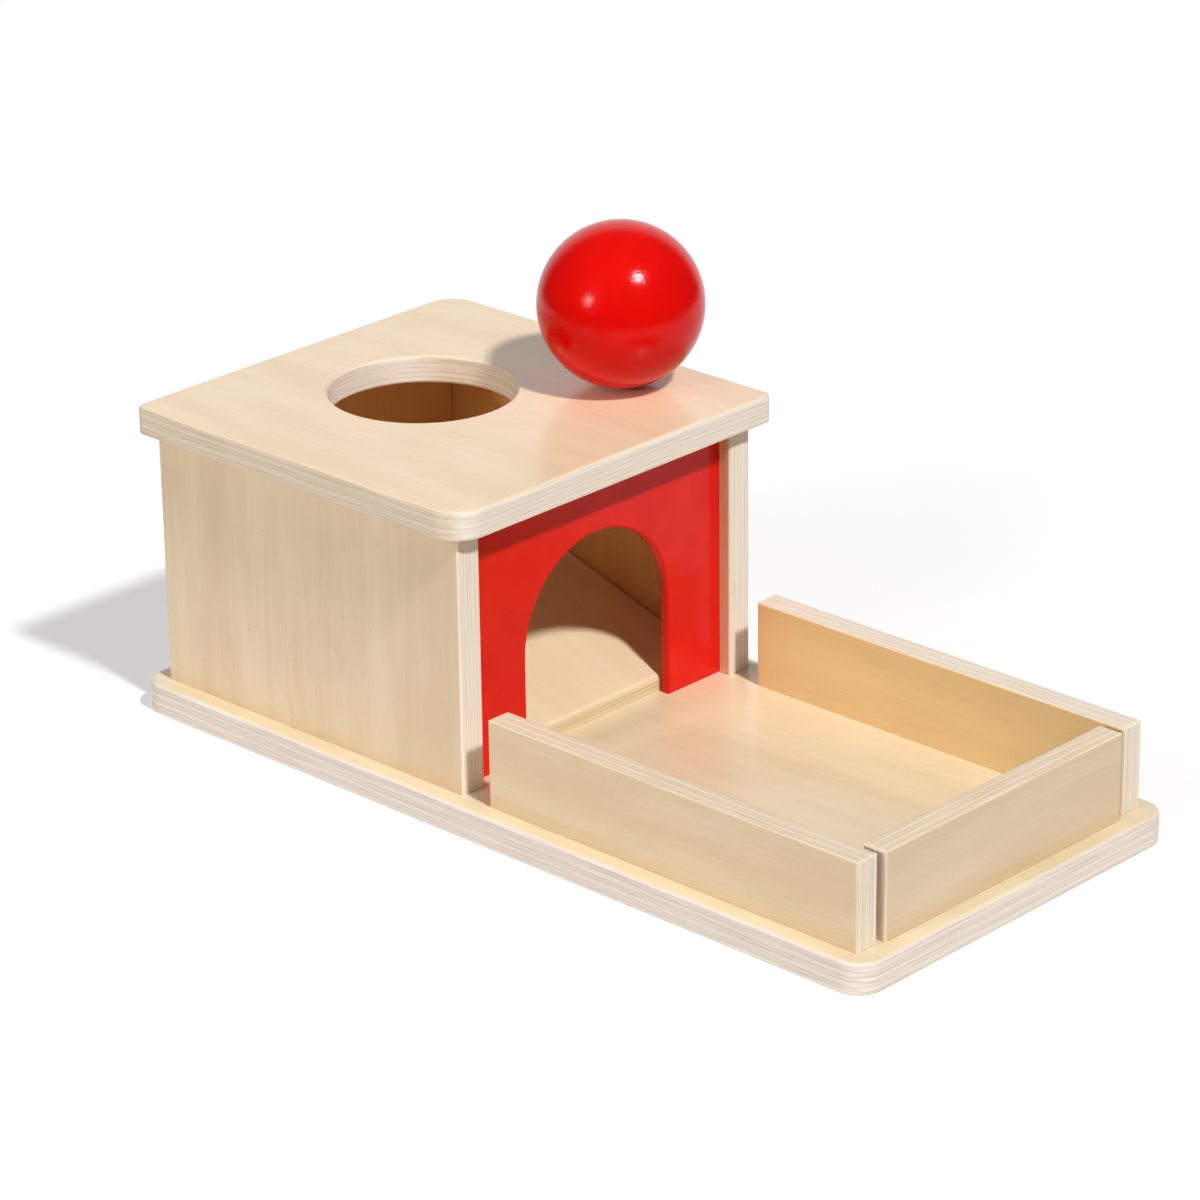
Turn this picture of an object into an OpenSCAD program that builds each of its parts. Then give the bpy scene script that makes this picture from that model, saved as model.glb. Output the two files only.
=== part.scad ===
// Object permanence box: a plywood box on a base board, with a ball hole in its lid, an arched
// doorway in its red front panel, a ramp inside, a railed tray in front and a loose red ball.
// Frame: +X runs from the box towards the tray, +Z is up, the origin is the middle of the underside.

/* [Base board] */
// Length of the base board, from behind the box to the end of the tray
base_len = 286; // [260:1:340]
// Width of the base board
base_w = 134; // [120:1:160]
// Thickness of the base board
base_t = 9.5; // [8:0.5:15]
// Radius of the base board's corners, seen from above
base_corner_r = 8; // [4:0.5:14]

/* [Box] */
// Length of the box's side panels
box_len = 124.5; // [112:0.5:140]
// Height of the box's panels
panel_h = 79.5; // [72:0.5:100]
// Thickness of the side and back panels
panel_t = 8.8; // [8:0.2:11]
// Step from the base board's back edge to the box
box_back_inset = 7.25; // [4:0.25:12]
// Step from the base board's long edges to the box and the side rails
box_side_inset = 5.75; // [3:0.25:8]

/* [Lid] */
// Thickness of the lid
lid_t = 8.8; // [8:0.2:12]
// Radius of the lid's near front and far back corners, seen from above
lid_corner_r = 10; // [5:0.5:15]
// Radius of its near back and far front corners, which are tighter
lid_tight_corner_r = 3; // [2:0.5:8]
// How far the lid stands out over the box's sides
lid_over_side = 4.75; // [2:0.25:7]
// How far the lid stands out over the box's front
lid_over_front = 5.25; // [2:0.25:7]
// How far the lid stands out over the box's back
lid_over_back = 4.25; // [2:0.25:7]
// Diameter of the ball hole
hole_d = 56.4; // [52:0.2:60]
// From the lid's back edge to the middle of the ball hole
hole_from_back = 53.8; // [46:0.1:60]

/* [Doorway panel] */
// Thickness of the red panel
door_t = 3.5; // [3:0.1:5]
// How far the red panel is set back from the side panels' front edges
door_recess = 4.25; // [3:0.25:8]
// Depth of the grooves in the side panels that hold the red panel
groove_depth = 3; // [2:0.25:4]
// Width of the doorway
door_w = 60.2; // [54:0.2:70]
// Height of the doorway's straight jambs
door_spring_h = 31.3; // [26:0.1:36]

/* [Ramp] */
// Thickness of the ramp board
ramp_t = 4.5; // [3:0.1:5]
// Slope of the ramp in degrees
ramp_angle = 17.3; // [12:0.1:24]
// Gap between the red panel's back and the foot of the ramp
ramp_foot_gap = 0.8; // [0.6:0.1:5]
// Rounding of the ramp's upper front edge, which the ball rolls over
ramp_nose_r = 2; // [1:0.25:3.5]
// Thickness of the wedges under the ramp's edges
wedge_t = 8; // [5:0.5:12]

/* [Tray rails] */
// Thickness of the tray rails
rail_t = 8.3; // [8:0.1:10]
// Height of the tray rails
rail_h = 27; // [22:0.5:36]
// Gap between the box's front and the back ends of the side rails
rail_gap = 10.4; // [4:0.2:16]
// Step from the base board's front edge to the front ends of the side rails
rail_front_inset = 6.85; // [4:0.05:12]
// Gap between each end of the front rail and the side rail beside it
front_rail_end_gap = 2; // [0.6:0.1:4]
// How far the front rail stands proud of the side rails' ends
front_rail_proud = 1.3; // [0:0.1:3]

/* [Ball] */
// Diameter of the ball
ball_d = 50; // [44:0.5:51]
// From the lid's front edge to the middle of the ball
ball_from_front = 38.5; // [30:0.5:45]
// From the lid's far edge to the middle of the ball
ball_from_side = 24.25; // [20:0.25:34]

/* [Edges] */
// Rounding of the base board's and the lid's upper edges
slab_ease = 1.4; // [0.5:0.1:2.5]
// Rounding of the base board's and the lid's lower edges
slab_under_ease = 0.5; // [0.3:0.1:1.5]
// Rounding of the panels' and the rails' upper and upright edges
panel_ease = 0.8; // [0.4:0.1:1.5]
// Rounding of the panels' and the rails' lower edges, where they meet the base board
panel_under_ease = 0.2; // [0.1:0.1:0.8]
// Rounding of the doorway's and the ball hole's rims
rim_ease = 1; // [0.4:0.1:1.4]
// Rounding of the red panel's foot and top
door_ease = 0.7; // [0.3:0.1:1.2]

/* [Fasteners] */
// Length of the base screws, head included
screw_len = 28; // [24:1:30]
// Diameter of the base screws' shank
screw_d = 3.5; // [3:0.1:4]
// Diameter of the base screws' countersunk head
screw_head_d = 7; // [6:0.1:8]
// Diameter of the dowels
dowel_d = 6; // [4:0.2:6]
// How deep a dowel goes into the lid or into a side panel's face
dowel_face_depth = 5; // [4:0.5:6]
// How deep a dowel goes into a panel's edge
dowel_edge_depth = 14; // [10:0.5:18]

/* [Hidden] */
$fn = 96;

// Colours of the bare plywood, the red lacquer, the dowels and the screws
ply_colour = "#e6cda2";
red_colour = "#d3211c";
dowel_colour = "#d8b887";
screw_colour = "#b9bcc0";

// Clearances: round pegs in their holes, the red panel in its grooves, the ramp beside the panels,
// the ball above the lid
peg_clear = 0.1;
groove_clear = 0.15;
ramp_side_clear = 0.6;
ball_rest_gap = 0.2;
// How far every cut runs past the face that it opens
overrun = 1;

// Levels and places along the base
base_back = -base_len / 2;
base_front = base_len / 2;
box_back = base_back + box_back_inset;
box_front = box_back + box_len;
box_w = base_w - 2 * box_side_inset;
inner_half_w = box_w / 2 - panel_t;
box_top = base_t + panel_h;
lid_top = box_top + lid_t;

// Lid and ball
lid_back = box_back - lid_over_back;
lid_front = box_front + lid_over_front;
lid_len = lid_front - lid_back;
lid_w = box_w + 2 * lid_over_side;
lid_mid = (lid_front + lid_back) / 2;
hole_x = lid_back + hole_from_back;
ball_x = lid_front - ball_from_front;
ball_y = lid_w / 2 - ball_from_side;
ball_z = lid_top + ball_rest_gap + ball_d / 2;

// Doorway panel and ramp
door_face = box_front - door_recess;
door_back = door_face - door_t;
door_panel_w = 2 * (inner_half_w + groove_depth - groove_clear);
ramp_front = door_back - ramp_foot_gap;
ramp_back = box_back + panel_t;
ramp_run = ramp_front - ramp_back;
ramp_rise = ramp_run * tan(ramp_angle);
ramp_plumb = ramp_t / cos(ramp_angle);
ramp_w = 2 * (inner_half_w - ramp_side_clear);
nose_x = ramp_front - ramp_nose_r;
nose_z = ramp_plumb + ramp_nose_r * tan(ramp_angle) - ramp_nose_r / cos(ramp_angle);

// Rails
rail_back = box_front + rail_gap;
rail_front = base_front - rail_front_inset;
rail_len = rail_front - rail_back;
rail_y = (box_w - rail_t) / 2;
front_rail_len = box_w - 2 * rail_t - 2 * front_rail_end_gap;
front_rail_x = rail_front + front_rail_proud - rail_t / 2;

// Screws: depth of the sunk head below the underside, the head's cone, the point and the cross recess
screw_sink = 0.4;
screw_head_h = (screw_head_d - screw_d) / 2;
screw_point_len = screw_d;
screw_top = screw_sink + screw_len;
cross_w = screw_d / 4;
cross_len = 1.2 * screw_d;
cross_depth = screw_head_h * 0.8;

// Dowels: eased ends, and where they stand along an edge as shares of its length
dowel_ease = dowel_d / 8;
dowel_end_gap = 0.5;
panel_peg_shares = [0.16, 0.8];
panel_screw_shares = [0.3, 0.66];
cross_peg_shares = [-0.32, 0.32];
cross_screw_shares = [-0.25, 0.25];
rail_screw_shares = [0.2, 0.8];
back_dowel_height_shares = [0.25, 0.7];

// Middle lines of the panels
side_mid_y = (box_w - panel_t) / 2;
back_mid_x = box_back + panel_t / 2;

// Places of the fasteners, as points seen from above
side_lid_dowels = [for (side = [-1, 1], s = panel_peg_shares) [box_back + s * box_len, side * side_mid_y]];
back_lid_dowels = [for (s = cross_peg_shares) [back_mid_x, s * 2 * inner_half_w]];
side_screws = [for (side = [-1, 1], s = panel_screw_shares) [box_back + s * box_len, side * side_mid_y]];
back_screws = [for (s = cross_screw_shares) [back_mid_x, s * 2 * inner_half_w]];
side_rail_screws = [for (side = [-1, 1], s = rail_screw_shares) [rail_back + s * rail_len, side * rail_y]];
front_rail_screws = [for (s = cross_screw_shares) [front_rail_x, s * front_rail_len]];
box_screw_places = concat(side_screws, back_screws);
rail_screw_places = concat(side_rail_screws, front_rail_screws);
lid_dowel_places = concat(side_lid_dowels, back_lid_dowels);

// Rectangle with round corners, about its middle
module round_rect(size_x, size_y, r) {
    square([size_x - 2 * r, size_y], center = true);
    square([size_x, size_y - 2 * r], center = true);
    for (x = [-1, 1], y = [-1, 1])
        translate([x * (size_x / 2 - r), y * (size_y / 2 - r)]) circle(r);
}

// Section of a board standing on y = 0, with one rounding for its upper and one for its lower edges
module board_section(wide, high, over, under) {
    translate([-wide / 2, under]) square([wide, high - over - under]);
    translate([over - wide / 2, under]) square([wide - 2 * over, high - under]);
    translate([under - wide / 2, 0]) square([wide - 2 * under, high - over]);
    for (side = [-1, 1]) {
        translate([side * (wide / 2 - over), high - over]) circle(over);
        translate([side * (wide / 2 - under), under]) circle(under);
    }
}

// Bar along X with that section, standing on z = 0
module run_x(length, wide, high, over, under) {
    rotate([90, 0, 90])
        linear_extrude(height = length, center = true) board_section(wide, high, over, under);
}

// The same along Y
module run_y(length, wide, high, over, under) {
    rotate(90) run_x(length, wide, high, over, under);
}

// Round disc with eased rims, standing on z = 0
module eased_disc(r, high, over, under) {
    rotate_extrude()
        intersection() {
            square([r, high]);
            board_section(2 * r, high, over, under);
        }
}

// Base board or lid, with round corners and eased edges all round, its underside on z = 0
module eased_slab(size_x, size_y, high, corner_r) {
    run_x(size_x - 2 * corner_r, size_y, high, slab_ease, slab_under_ease);
    run_y(size_y - 2 * corner_r, size_x, high, slab_ease, slab_under_ease);
    for (x = [-1, 1], y = [-1, 1])
        translate([x * (size_x / 2 - corner_r), y * (size_y / 2 - corner_r), 0])
            eased_disc(corner_r, high, slab_ease, slab_under_ease);
}

// Panel or rail, cut square with every edge eased, its underside on z = 0
module eased_bar(size_x, size_y, high) {
    intersection() {
        run_x(size_x, size_y, high, panel_ease, panel_under_ease);
        run_y(size_y, size_x, high, panel_ease, panel_under_ease);
        linear_extrude(height = high) round_rect(size_x, size_y, panel_ease);
    }
}

// Section of a cut through a board, from its middle line out to its eased rims
module rim_section(half, thick, ease) {
    translate([0, -overrun]) square([half, thick + 2 * overrun]);
    for (flip = [0, 1])
        translate([0, flip * thick])
            mirror([0, flip])
                difference() {
                    translate([0, -overrun]) square([half + ease, overrun + ease]);
                    translate([half + ease, ease]) circle(ease);
                }
}

// Wood screw standing on its countersunk head
module screw() {
    difference() {
        rotate_extrude()
            polygon([[0, 0], [screw_head_d / 2, 0], [screw_d / 2, screw_head_h],
                     [screw_d / 2, screw_len - screw_point_len], [0, screw_len]]);
        for (turn = [0, 90])
            rotate(turn)
                translate([-cross_len / 2, -cross_w / 2, -overrun])
                    cube([cross_len, cross_w, cross_depth + overrun]);
    }
}

// Countersunk hole for that screw, seen from the underside of the base
module screw_hole() {
    hole_r = screw_d / 2 + peg_clear;
    head_r = screw_head_d / 2 + peg_clear;
    translate([0, 0, -overrun]) cylinder(r = head_r, h = screw_sink + overrun);
    translate([0, 0, screw_sink]) cylinder(r1 = head_r, r2 = hole_r, h = head_r - hole_r);
    cylinder(r = hole_r, h = screw_top + peg_clear);
}

module screws_at(places) {
    for (p = places) translate([p[0], p[1], screw_sink]) screw();
}

module screw_holes_at(places) {
    for (p = places) translate([p[0], p[1], 0]) screw_hole();
}

// Dowel with eased ends along Z, its seam between the two boards at z = 0
module dowel(up, down) {
    translate([0, 0, dowel_end_gap - down])
        rotate_extrude()
            intersection() {
                square([dowel_d / 2, up + down - 2 * dowel_end_gap]);
                translate([0, (up + down) / 2 - dowel_end_gap])
                    round_rect(dowel_d, up + down - 2 * dowel_end_gap, dowel_ease);
            }
}

module dowel_hole(up, down) {
    translate([0, 0, -down]) cylinder(d = dowel_d + 2 * peg_clear, h = up + down);
}

// Places each child at every dowel between the lid and the box
module at_lid_dowels() {
    for (p = lid_dowel_places) translate([p[0], p[1], box_top]) children();
}

// Places each child at every dowel between the back panel and a side, pointing out of the side
module at_back_dowels() {
    for (side = [-1, 1], s = back_dowel_height_shares)
        translate([back_mid_x, side * inner_half_w, base_t + s * panel_h])
            rotate([-side * 90, 0, 0]) children();
}

module base_board() {
    color(ply_colour)
        difference() {
            eased_slab(base_len, base_w, base_t, base_corner_r);
            screw_holes_at(box_screw_places);
            screw_holes_at(rail_screw_places);
        }
}

// One side of the box, on the near (-1) or far (1) side
module side_panel(side) {
    color(ply_colour)
        difference() {
            translate([(box_back + box_front) / 2, side * side_mid_y, base_t])
                eased_bar(box_len, panel_t, panel_h);
            translate([door_back - groove_clear, side * inner_half_w - groove_depth, base_t - overrun])
                cube([door_t + 2 * groove_clear, 2 * groove_depth, panel_h + 2 * overrun]);
            at_lid_dowels() dowel_hole(dowel_face_depth, dowel_edge_depth);
            at_back_dowels() dowel_hole(dowel_face_depth, dowel_edge_depth);
            screw_holes_at(box_screw_places);
        }
}

module near_side_panel() {
    side_panel(-1);
}

module far_side_panel() {
    side_panel(1);
}

module back_panel() {
    color(ply_colour)
        difference() {
            translate([back_mid_x, 0, base_t])
                eased_bar(panel_t, 2 * inner_half_w, panel_h);
            at_lid_dowels() dowel_hole(dowel_face_depth, dowel_edge_depth);
            at_back_dowels() dowel_hole(dowel_face_depth, dowel_edge_depth);
            screw_holes_at(box_screw_places);
        }
}

// Lid with its ball hole. A small plate fills each of its two tighter corners.
module lid() {
    tight_plate = 2 * lid_corner_r;
    color(ply_colour)
        difference() {
            translate([lid_mid, 0, box_top]) {
                eased_slab(lid_len, lid_w, lid_t, lid_corner_r);
                for (side = [-1, 1])
                    translate([side * (lid_len / 2 - lid_corner_r), side * (lid_w / 2 - lid_corner_r), 0])
                        eased_slab(tight_plate, tight_plate, lid_t, lid_tight_corner_r);
            }
            translate([hole_x, 0, box_top])
                rotate_extrude() rim_section(hole_d / 2, lid_t, rim_ease);
            at_lid_dowels() dowel_hole(dowel_face_depth, dowel_edge_depth);
        }
}

// Red panel, seated in the side panels' grooves, with its arched doorway
module arch_panel() {
    color(red_colour)
        difference() {
            translate([(door_back + door_face) / 2, 0, base_t])
                run_y(door_panel_w, door_t, panel_h, door_ease, door_ease);
            translate([door_back, 0, base_t + door_spring_h])
                rotate([90, 0, 90])
                    rotate_extrude() rim_section(door_w / 2, door_t, rim_ease);
            for (side = [0, 1])
                translate([door_back, 0, base_t - overrun])
                    mirror([0, side, 0])
                        rotate(90) mirror([0, 1, 0])
                            linear_extrude(height = door_spring_h + overrun)
                                rim_section(door_w / 2, door_t, rim_ease);
        }
}

// Side view of the sloping board, cut plumb at its foot and at the back panel, with a round nose
module ramp_section() {
    nose_top = [nose_x + ramp_nose_r * sin(ramp_angle), nose_z + ramp_nose_r * cos(ramp_angle)];
    ramp_top = [ramp_back, ramp_rise + ramp_plumb];
    ramp_under = [ramp_back, ramp_rise];
    intersection() {
        polygon([[ramp_front, 0], [ramp_front, ramp_plumb], ramp_top, ramp_under]);
        union() {
            polygon([[ramp_front, 0], [ramp_front, nose_z], nose_top, ramp_top, ramp_under]);
            translate([nose_x, nose_z]) circle(ramp_nose_r);
        }
    }
}

module ramp_board() {
    color(ply_colour)
        translate([0, ramp_w / 2, base_t])
            rotate([90, 0, 0])
                linear_extrude(height = ramp_w) ramp_section();
}

// Wedge under one edge of the ramp, on the near (-1) or far (1) side
module ramp_wedge(side) {
    color(ply_colour)
        translate([0, side * (inner_half_w - wedge_t / 2) + wedge_t / 2, base_t])
            rotate([90, 0, 0])
                linear_extrude(height = wedge_t)
                    polygon([[ramp_front, 0], [ramp_back, ramp_rise], [ramp_back, 0]]);
}

module near_ramp_wedge() {
    ramp_wedge(-1);
}

module far_ramp_wedge() {
    ramp_wedge(1);
}

module side_rail(side) {
    color(ply_colour)
        difference() {
            translate([(rail_back + rail_front) / 2, side * rail_y, base_t])
                eased_bar(rail_len, rail_t, rail_h);
            screw_holes_at(rail_screw_places);
        }
}

module near_rail() {
    side_rail(-1);
}

module far_rail() {
    side_rail(1);
}

module front_rail() {
    color(ply_colour)
        difference() {
            translate([front_rail_x, 0, base_t])
                eased_bar(rail_t, front_rail_len, rail_h);
            screw_holes_at(rail_screw_places);
        }
}

module ball() {
    color(red_colour)
        translate([ball_x, ball_y, ball_z]) sphere(d = ball_d);
}

module box_screws() {
    color(screw_colour) screws_at(box_screw_places);
}

module rail_screws() {
    color(screw_colour) screws_at(rail_screw_places);
}

module lid_dowels() {
    color(dowel_colour) at_lid_dowels() dowel(dowel_face_depth, dowel_edge_depth);
}

module back_dowels() {
    color(dowel_colour) at_back_dowels() dowel(dowel_face_depth, dowel_edge_depth);
}

base_board();
near_side_panel();
far_side_panel();
back_panel();
lid();
arch_panel();
ramp_board();
near_ramp_wedge();
far_ramp_wedge();
near_rail();
far_rail();
front_rail();
ball();
box_screws();
rail_screws();
lid_dowels();
back_dowels();
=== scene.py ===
from math import ceil, cos, pi, radians, sin

import bpy
from mathutils import Matrix, Vector

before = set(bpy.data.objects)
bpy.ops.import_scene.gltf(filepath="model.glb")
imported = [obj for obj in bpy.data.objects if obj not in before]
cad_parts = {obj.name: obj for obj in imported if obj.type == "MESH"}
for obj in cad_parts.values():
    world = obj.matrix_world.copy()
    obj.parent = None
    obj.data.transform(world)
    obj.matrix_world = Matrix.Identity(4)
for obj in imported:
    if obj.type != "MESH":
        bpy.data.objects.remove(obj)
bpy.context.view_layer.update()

scene = bpy.context.scene

MM = 0.001
X = Vector((1, 0, 0))
Y = Vector((0, 1, 0))
Z = Vector((0, 0, 1))


def rgb(red, green, blue):
    return (red, green, blue, 1.0)


class Graph:
    """Short ways to lay out the nodes of a material or of the world."""

    def __init__(self, owner):
        self.owner = owner
        owner.use_nodes = True
        self.tree = owner.node_tree
        self.tree.nodes.clear()

    def node(self, kind, inputs=None, **settings):
        made = self.tree.nodes.new(kind)
        for key, value in settings.items():
            setattr(made, key, value)
        for key, value in (inputs or {}).items():
            self.feed(made.inputs[key], value)
        return made

    def feed(self, socket, value):
        if isinstance(value, bpy.types.NodeSocket):
            self.tree.links.new(value, socket)
        else:
            socket.default_value = value

    def math(self, operation, first, second=0.0, third=0.0):
        made = self.node("ShaderNodeMath", operation=operation)
        for socket, value in zip(made.inputs, (first, second, third)):
            self.feed(socket, value)
        return made.outputs[0]

    def dot(self, vector, axis):
        made = self.node("ShaderNodeVectorMath", {0: vector, 1: axis}, operation="DOT_PRODUCT")
        return made.outputs["Value"]

    def place(self):
        return self.node("ShaderNodeTexCoord").outputs["Object"]

    def along(self, axis):
        """Place along an axis of the part's own frame."""
        return self.dot(self.place(), axis)

    def facing(self, axis):
        """How squarely the surface faces along an axis, either way: 1 is square, 0 is edge-on."""
        return self.math("ABSOLUTE", self.dot(self.node("ShaderNodeTexCoord").outputs["Normal"], axis))

    def stretch(self, run, length, over, width, seed):
        """Texture place that is stretched to a length along the grain and a width across it."""
        return self.node("ShaderNodeCombineXYZ", {
            0: self.math("MULTIPLY", run, 1 / length),
            1: self.math("MULTIPLY", over, 1 / width),
            2: seed}).outputs[0]

    def noise(self, vector, scale=1.0, detail=2.0):
        return self.node("ShaderNodeTexNoise", {
            "Vector": vector, "Scale": scale, "Detail": detail}).outputs["Fac"]

    def ramp(self, value, low, high, to_low=0.0, to_high=1.0):
        """Smooth step of value from low to high."""
        made = self.node("ShaderNodeMapRange", interpolation_type="SMOOTHSTEP")
        for socket, number in zip(made.inputs, (value, low, high, to_low, to_high)):
            self.feed(socket, number)
        return made.outputs[0]

    def blend(self, parts):
        """Sum of values, each with its weight."""
        total = 0.0
        for value, weight in parts:
            total = self.math("MULTIPLY_ADD", value, weight, total)
        return total

    def vary(self, noise, least, by):
        """Value that a noise raises from its least by up to this much."""
        return self.math("MULTIPLY_ADD", noise, by, least)

    def mix(self, share, first, second):
        made = self.node("ShaderNodeMix", data_type="RGBA")
        self.feed(made.inputs["Factor"], share)
        self.feed(made.inputs[6], first)
        self.feed(made.inputs[7], second)
        return made.outputs[2]

    def seen(self):
        """1 where the camera looks at this, straight, mirrored or through something clear, else 0."""
        path = self.node("ShaderNodeLightPath")
        straight = path.outputs["Is Camera Ray"]
        mirrored = path.outputs["Is Glossy Ray"]
        through = path.outputs["Is Transmission Ray"]
        return self.math("MAXIMUM", self.math("MAXIMUM", straight, mirrored), through)

    def bump(self, height, strength):
        return self.node("ShaderNodeBump", {
            "Height": height, "Strength": strength, "Distance": BUMP_DEPTH}).outputs[0]

    def surface(self, **sockets):
        shader = self.node("ShaderNodeBsdfPrincipled")
        for key, value in sockets.items():
            self.feed(shader.inputs[key.replace("_", " ")], value)
        self.node("ShaderNodeOutputMaterial", {"Surface": shader.outputs[0]})
        return self.owner


def paint(name):
    """Nodes of a new material."""
    return Graph(bpy.data.materials.new(name))


def dress(name, material):
    """Give a piece its only material."""
    piece = bpy.data.objects[name]
    piece.data.materials.clear()
    piece.data.materials.append(material)


def spread(name, axis):
    """Lowest and highest place of a piece along an axis."""
    places = [v.co.dot(axis) for v in bpy.data.objects[name].data.vertices]
    return min(places), max(places)


# Sizes of the wood's texture: plies, then length along the grain and width across it
PLY = 1.475 * MM
STREAK = (32 * MM, 1.2 * MM)
FIBRE = (6 * MM, 0.35 * MM)
BAND = (130 * MM, 14 * MM)
BLOTCH = (34 * MM, 15 * MM)
FLECK = (2.2 * MM, 0.6 * MM)
WAVE = (66 * MM, 22 * MM)
BEND = 9 * MM
PORE = 0.3 * MM
THREAD = (26 * MM, 0.42 * MM)

# Sizes of the texture on lacquer and zinc, and the depth of all relief
CLOUD = 14 * MM
BALL_PEEL = 0.7 * MM
PANEL_PEEL = 1.4 * MM
ZINC_GRAIN = 1.5 * MM
BUMP_DEPTH = 0.05 * MM

# Spans in which a noise takes a look from none to full
NOISE_SPAN = (0.3, 0.7)
DEEP_SPAN = (0.36, 0.64)
FLECK_SPAN = (0.8, 0.86)

# Spans of facing along an axis: from edge to face, from long grain to end grain and from dull to glossy
FACE_SPAN = (0.65, 0.95)
END_SPAN = (0.5, 0.87)
COAT_SPAN = (0.93, 0.995)

# Plies, in shares of their thickness: how far their lines drift, and how far from the middle glue starts
PLY_DRIFT = 0.4
SEAM_SPAN = (0.38, 0.48)

# Glue: the span of noise in which it comes out, and the least and the most of it that shows
GLUE_SPAN = (0.2, 0.8)
GLUE_SHOWS = (0.15, 0.5)

# Wood: how far its edges lean to the paler colour, how much flecks show, its relief, roughness and gloss
EDGE_LIFT = 0.3
FLECK_SHOWS = 0.3
WOOD_RELIEF = 0.2
EDGE_ROUGH = 0.57
EDGE_GLOSS = 0.05

# Zinc's relief, and how strongly wood, its clear coat and the red lacquer refract
ZINC_RELIEF = 0.1
WOOD_IOR = 1.45
COAT_IOR = 1.5
LACQUER_IOR = 1.27

# Veneer colours, the pale and the deep one of each kind; the tray's and the box's inner tones are
# painted shade
LID_TONE = (rgb(0.965, 0.765, 0.525), rgb(0.9, 0.675, 0.435))
BASE_TONE = (rgb(0.885, 0.745, 0.515), rgb(0.805, 0.65, 0.42))
SIDE_TONE = (rgb(0.88, 0.675, 0.435), rgb(0.79, 0.575, 0.345))
FRONT_TONE = (rgb(0.78, 0.6, 0.385), rgb(0.71, 0.52, 0.315))
# Painted shade: a deeper, warmer tone for the rails' inner faces, standing for the shade and warm bounce
# light in the tray
TRAY_SHADE_TONE = (rgb(0.85, 0.615, 0.295), rgb(0.78, 0.54, 0.245))
# Painted shade: a deeper, warmer tone for the box's inner faces, standing for the shade and warm bounce
# light inside the box
BOX_SHADE_TONE = (rgb(0.87, 0.53, 0.21), rgb(0.78, 0.43, 0.15))
RAMP_TONE = (rgb(0.96, 0.79, 0.54), rgb(0.9, 0.71, 0.46))
FLECK_COLOUR = rgb(0.5, 0.33, 0.17)

# Colours of the plies on the edges, where a ply shows long grain and where it shows end grain
CREAM = (rgb(0.97, 0.86, 0.73), rgb(0.84, 0.71, 0.55))
PALE = (rgb(0.98, 0.9, 0.79), rgb(0.94, 0.83, 0.69))
ASH = (rgb(0.92, 0.83, 0.745), rgb(0.76, 0.64, 0.54))
KHAKI = (rgb(0.94, 0.79, 0.61), rgb(0.77, 0.61, 0.44))
# Painted shade: darker colours for the ramp's edges, standing for the shade on the ramp's nose
RAMP_EDGE_SHADE = (rgb(0.83, 0.68, 0.43), rgb(0.72, 0.57, 0.36))
GLUE = rgb(0.46, 0.33, 0.22)

# Colours of the other materials, the pale and the deep one of each
BALL_RED = (rgb(0.8, 0.004, 0.002), rgb(0.74, 0.003, 0.0015))
PANEL_RED = (rgb(0.83, 0.015, 0.007), rgb(0.77, 0.012, 0.006))
ZINC = (rgb(0.7, 0.71, 0.73), rgb(0.55, 0.56, 0.58))
BEECH = (rgb(0.78, 0.6, 0.42), rgb(0.62, 0.44, 0.28))


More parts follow.
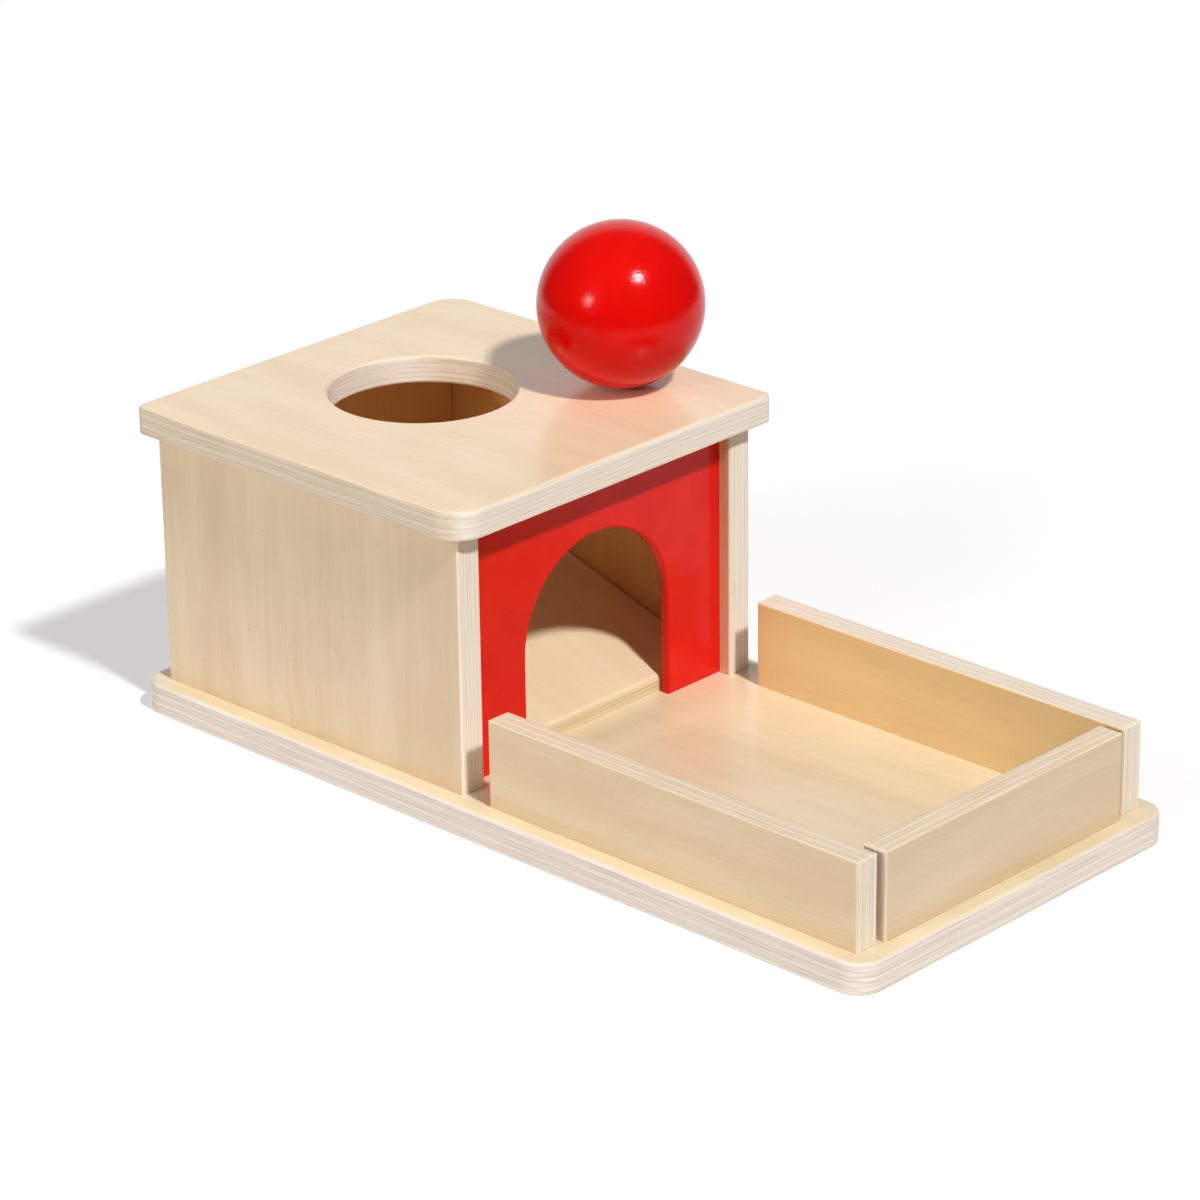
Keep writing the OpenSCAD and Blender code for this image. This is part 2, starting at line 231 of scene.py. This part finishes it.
def plywood(name, thick, grain, seed, tone, gloss=0.75, inside=0, inner_shade_tone=None, inner_end=None,
            long_edge=CREAM, end_edge=CREAM):
    """Lacquered birch plywood: veneer with its grain on both faces, plies and glue lines on the edges.
    The inner face, up (1) or down (-1) the thickness axis, is painted with a shade tone, as far forward
    as its end.
    Edges along the face grain and edges across it have their own colours."""
    g = paint("ply_" + name)
    low, high = spread(name, thick)
    plies = 2 * ceil(((high - low) / PLY - 1) / 2) + 1
    depth = g.along(thick)
    run = g.along(grain)
    over = g.along(thick.cross(grain))
    face = g.ramp(g.facing(thick), *FACE_SPAN)

    # Veneer: wavy streaks, fibres, slow bands, soft blotches and a few small flecks
    over = g.math("MULTIPLY_ADD", g.noise(g.stretch(run, WAVE[0], over, WAVE[1], seed)), BEND, over)
    shift = g.math("MULTIPLY_ADD", depth, 1 / PLY, seed)
    streaks = g.noise(g.stretch(run, STREAK[0], over, STREAK[1], shift), detail=3.0)
    fibres = g.noise(g.stretch(run, FIBRE[0], over, FIBRE[1], shift))
    bands = g.noise(g.stretch(run, BAND[0], over, BAND[1], shift))
    blotches = g.noise(g.stretch(run, BLOTCH[0], over, BLOTCH[1], shift), detail=3.0)
    flecks = g.noise(g.stretch(run, FLECK[0], over, FLECK[1], shift), detail=0.0)
    flecks = g.ramp(flecks, *FLECK_SPAN)
    deep = g.blend(((streaks, 0.18), (bands, 0.4), (fibres, 0.12), (blotches, 0.3)))
    deep = g.ramp(deep, *DEEP_SPAN)
    layer = g.math("MULTIPLY_ADD", depth, 1 / PLY, plies / 2 - (low + high) / 2 / PLY)
    veneer = g.mix(deep, *tone)
    # Inner face: painted shade, a deeper and warmer tone over the veneer
    if inside:
        within = g.ramp(layer, plies / 2, (plies + inside) / 2)
        if inner_end is not None:
            within = g.math("MULTIPLY", within, g.ramp(g.along(X), inner_end, inner_end + PLY, 1.0, 0.0))
        veneer = g.mix(within, veneer, g.mix(deep, *inner_shade_tone))
    veneer = g.mix(g.math("MULTIPLY", flecks, FLECK_SHOWS), veneer, FLECK_COLOUR)

    # Plies: every second one runs across the face grain,
    # so it shows end grain where the rest show long grain
    drift = g.noise(g.stretch(run, WAVE[1], over, WAVE[1], seed))
    layer = g.math("MULTIPLY_ADD", g.math("SUBTRACT", drift, 0.5), PLY_DRIFT, layer)
    odd = g.math("MODULO", g.math("FLOOR", layer), 2.0)
    crosswise = g.ramp(g.facing(grain), *END_SPAN)
    end = g.math("ABSOLUTE", g.math("SUBTRACT", odd, crosswise))
    pores = g.noise(g.place(), 1 / PORE, detail=3.0)
    length = g.math("ADD", run, over)
    threads = g.noise(g.stretch(length, THREAD[0], depth, THREAD[1], seed))
    threads = g.ramp(threads, *NOISE_SPAN)
    share = g.blend(((end, 0.35), (threads, 0.6), (pores, 0.3), (blotches, 0.3)))
    share = g.math("SUBTRACT", share, EDGE_LIFT)
    off_middle = g.math("ABSOLUTE", g.math("SUBTRACT", g.math("FRACT", layer), 0.5))
    shows = g.ramp(threads, *GLUE_SPAN, *GLUE_SHOWS)
    seam = g.math("MULTIPLY", g.ramp(off_middle, *SEAM_SPAN), shows)
    pale = g.mix(crosswise, long_edge[0], end_edge[0])
    dark = g.mix(crosswise, long_edge[1], end_edge[1])
    edge = g.mix(seam, g.mix(share, pale, dark), GLUE)
    colour = g.mix(face, edge, veneer)

    rough = g.blend(((fibres, 0.14), (face, -0.2)))
    rough = g.math("ADD", rough, EDGE_ROUGH)
    normal = g.bump(g.blend(((pores, 0.3), (fibres, 1.0), (streaks, 1.0))), WOOD_RELIEF)
    coat = g.ramp(g.facing(thick), *COAT_SPAN, EDGE_GLOSS, gloss)
    material = g.surface(Base_Color=colour, Roughness=rough, Normal=normal, IOR=WOOD_IOR,
                         Coat_Weight=coat, Coat_Roughness=0.15, Coat_IOR=COAT_IOR, Coat_Normal=normal)
    dress(name, material)


def lacquer(name, tone, rough, peel, relief):
    """Glossy red lacquer with a fine orange-peel skin."""
    g = paint("lacquer_" + name)
    cloud = g.noise(g.place(), 1 / CLOUD, detail=3.0)
    skin = g.noise(g.place(), 1 / peel)
    colour = g.mix(g.ramp(cloud, *NOISE_SPAN), *tone)
    roughness = g.vary(skin, least=rough, by=0.06)
    normal = g.bump(skin, relief)
    material = g.surface(Base_Color=colour, Roughness=roughness, Normal=normal, IOR=LACQUER_IOR)
    dress(name, material)


def steel(name):
    """Zinc plated steel."""
    g = paint("zinc_" + name)
    cloud = g.noise(g.place(), 1 / ZINC_GRAIN, detail=4.0)
    colour = g.mix(g.ramp(cloud, *NOISE_SPAN), *ZINC)
    roughness = g.vary(cloud, least=0.22, by=0.25)
    normal = g.bump(cloud, ZINC_RELIEF)
    material = g.surface(Base_Color=colour, Roughness=roughness, Metallic=1.0, Normal=normal)
    dress(name, material)


def beech(name, grain, over):
    """Bare beech with its fibres along the grain."""
    g = paint("beech_" + name)
    fibres = g.noise(g.stretch(g.along(grain), FIBRE[0], g.along(over), FIBRE[1], 0.0), detail=3.0)
    colour = g.mix(g.ramp(fibres, *NOISE_SPAN), *BEECH)
    roughness = g.vary(fibres, least=0.5, by=0.2)
    material = g.surface(Base_Color=colour, Roughness=roughness, Normal=g.bump(fibres, WOOD_RELIEF))
    dress(name, material)


# Axes of the sloping ramp, and the red panel's back, where the inner tone of the box ends
RAMP_SLOPE = radians(17.3)
ramp_up = Vector((sin(RAMP_SLOPE), 0, cos(RAMP_SLOPE)))
ramp_run = Vector((cos(RAMP_SLOPE), 0, -sin(RAMP_SLOPE)))
door_back = spread("arch_panel", X)[0]

# Boards: thickness axis, the way the face grain runs, a seed of their own and their tone
plywood("base_board", Z, X, 1.0, BASE_TONE, gloss=0.5, long_edge=ASH, end_edge=ASH)
# The box's panels have their inner faces, behind the red panel, painted with the box's shade tone
plywood("near_side_panel", Y, Z, 5.0, SIDE_TONE, inside=1, inner_shade_tone=BOX_SHADE_TONE, inner_end=door_back,
        long_edge=PALE)
plywood("far_side_panel", Y, Z, 9.0, SIDE_TONE, inside=-1, inner_shade_tone=BOX_SHADE_TONE, inner_end=door_back,
        long_edge=PALE)
plywood("back_panel", X, Z, 13.0, SIDE_TONE, inside=1, inner_shade_tone=BOX_SHADE_TONE)
plywood("lid", Z, X, 17.0, LID_TONE, gloss=0.62, long_edge=KHAKI, end_edge=PALE)
# The ramp's edges are painted darker, as shade on its nose
plywood("ramp_board", ramp_up, ramp_run, 21.0, RAMP_TONE, gloss=0.3, long_edge=RAMP_EDGE_SHADE, end_edge=RAMP_EDGE_SHADE)
plywood("near_ramp_wedge", Y, X, 25.0, SIDE_TONE)
plywood("far_ramp_wedge", Y, X, 29.0, SIDE_TONE)
# The rails have their inner faces, towards the tray, painted with the tray's shade tone
plywood("near_rail", Y, X, 33.0, SIDE_TONE, inside=1, inner_shade_tone=TRAY_SHADE_TONE, long_edge=KHAKI)
plywood("far_rail", Y, X, 37.0, SIDE_TONE, inside=-1, inner_shade_tone=TRAY_SHADE_TONE)
plywood("front_rail", X, Y, 41.0, FRONT_TONE, inside=-1, inner_shade_tone=TRAY_SHADE_TONE, long_edge=KHAKI)

# Red pieces, screws and dowels
lacquer("ball", BALL_RED, rough=0.11, peel=BALL_PEEL, relief=1.3)
lacquer("arch_panel", PANEL_RED, rough=0.23, peel=PANEL_PEEL, relief=0.12)
steel("box_screws")
steel("rail_screws")
beech("lid_dowels", Z, X)
beech("back_dowels", Y, X)

# The way from the camera to the object, seen from above
HEADING = radians(43.635)
away = Vector((-sin(HEADING), cos(HEADING), 0))

# Floor: a pale plain disc, white where the camera or a reflection sees it out of the object's shadow
FLOOR_RADIUS = 0.68
FLOOR_SIDES = 128
FLOOR_DROP = 0.1 * MM
FLOOR_SHIFT = 0.35
FLOOR_MIDDLE = FLOOR_SHIFT * away - FLOOR_DROP * Z
FLOOR_GREY = 0.72
FLOOR_GLOW = 0.41
mesh = bpy.data.meshes.new("floor")
turns = [2 * pi * side / FLOOR_SIDES for side in range(FLOOR_SIDES)]
rim = [FLOOR_MIDDLE + FLOOR_RADIUS * (cos(turn) * X + sin(turn) * Y) for turn in turns]
mesh.from_pydata(rim, [], [range(FLOOR_SIDES)])
floor = bpy.data.objects.new("floor", mesh)
scene.collection.objects.link(floor)
g = paint("floor")
diffuse = g.node("ShaderNodeBsdfDiffuse", {"Color": rgb(FLOOR_GREY, FLOOR_GREY, FLOOR_GREY)})
glow = g.math("MULTIPLY", g.seen(), FLOOR_GLOW)
glow = g.node("ShaderNodeEmission", {"Color": rgb(1, 1, 1), "Strength": glow})
both = g.node("ShaderNodeAddShader", {0: diffuse.outputs[0], 1: glow.outputs[0]})
g.node("ShaderNodeOutputMaterial", {"Surface": both.outputs[0]})
mesh.materials.append(g.owner)

# World: a dim room, brighter overhead. The camera sees a white backdrop all round it,
# and reflections see that backdrop behind the object
ROOM_LEVEL = 0.05
ROOF_LEVEL = 0.09
BACKDROP_SPAN = (0.64, 0.87)
world = bpy.data.worlds.new("studio")
scene.world = world
g = Graph(world)
way = g.node("ShaderNodeTexCoord").outputs["Generated"]
behind = g.ramp(g.dot(way, away), *BACKDROP_SPAN)
room = g.math("MULTIPLY_ADD", g.math("MAXIMUM", g.dot(way, Z), 0.0), ROOF_LEVEL, ROOM_LEVEL)
white = g.math("MULTIPLY", behind, g.seen())
white = g.math("MAXIMUM", white, g.node("ShaderNodeLightPath").outputs["Is Camera Ray"])
level = g.math("MULTIPLY_ADD", white, g.math("SUBTRACT", 1.0, room), room)
sky = g.node("ShaderNodeBackground", {"Color": rgb(1, 1, 1), "Strength": level})
g.node("ShaderNodeOutputWorld", {"Surface": sky.outputs[0]})

# Lamps: a key lamp above the tray's end, and on the near side a small fill lamp and a wide soft one
AIM = Vector((-44.5, 41.75, 123)) * MM
LAMP_FAR = 10.0


def lamp(name, direction, level, angle):
    """Round lamp, as wide as this angle, that lights a surface facing it at this level."""
    data = bpy.data.lights.new(name, "AREA")
    data.shape = "DISK"
    data.size = LAMP_FAR * angle
    data.energy = level * pi * pi * LAMP_FAR ** 2
    made = bpy.data.objects.new(name, data)
    scene.collection.objects.link(made)
    made.location = AIM + direction.normalized() * LAMP_FAR
    made.rotation_euler = direction.to_track_quat("Z", "Y").to_euler()
    return made


lamp("key", Vector((0.622, -0.1, 0.777)), level=0.84, angle=radians(5))
lamp("fill", Vector((-0.069, -0.948, 0.311)), level=0.19, angle=radians(5))
soft = lamp("soft", Vector((-0.05, -0.9, 0.43)), level=0.25, angle=radians(40))
soft.visible_glossy = False

# Camera, as fitted to the photograph
ELEVATION = radians(22.938)
ROLL = radians(-0.756)
CAMERA_PLACE = Vector((877.85, -936.2, 597.3)) * MM
camera_data = bpy.data.cameras.new("camera")
camera_data.lens = 144.99
camera_data.sensor_width = 36
camera_data.clip_start = 0.05
camera_data.clip_end = 50
camera = bpy.data.objects.new("camera", camera_data)
scene.collection.objects.link(camera)
turn = Matrix.Rotation(HEADING, 4, "Z") @ Matrix.Rotation(pi / 2 - ELEVATION, 4, "X")
camera.matrix_world = Matrix.Translation(CAMERA_PLACE) @ turn @ Matrix.Rotation(ROLL, 4, "Z")
scene.camera = camera

scene.view_settings.view_transform = "Standard"
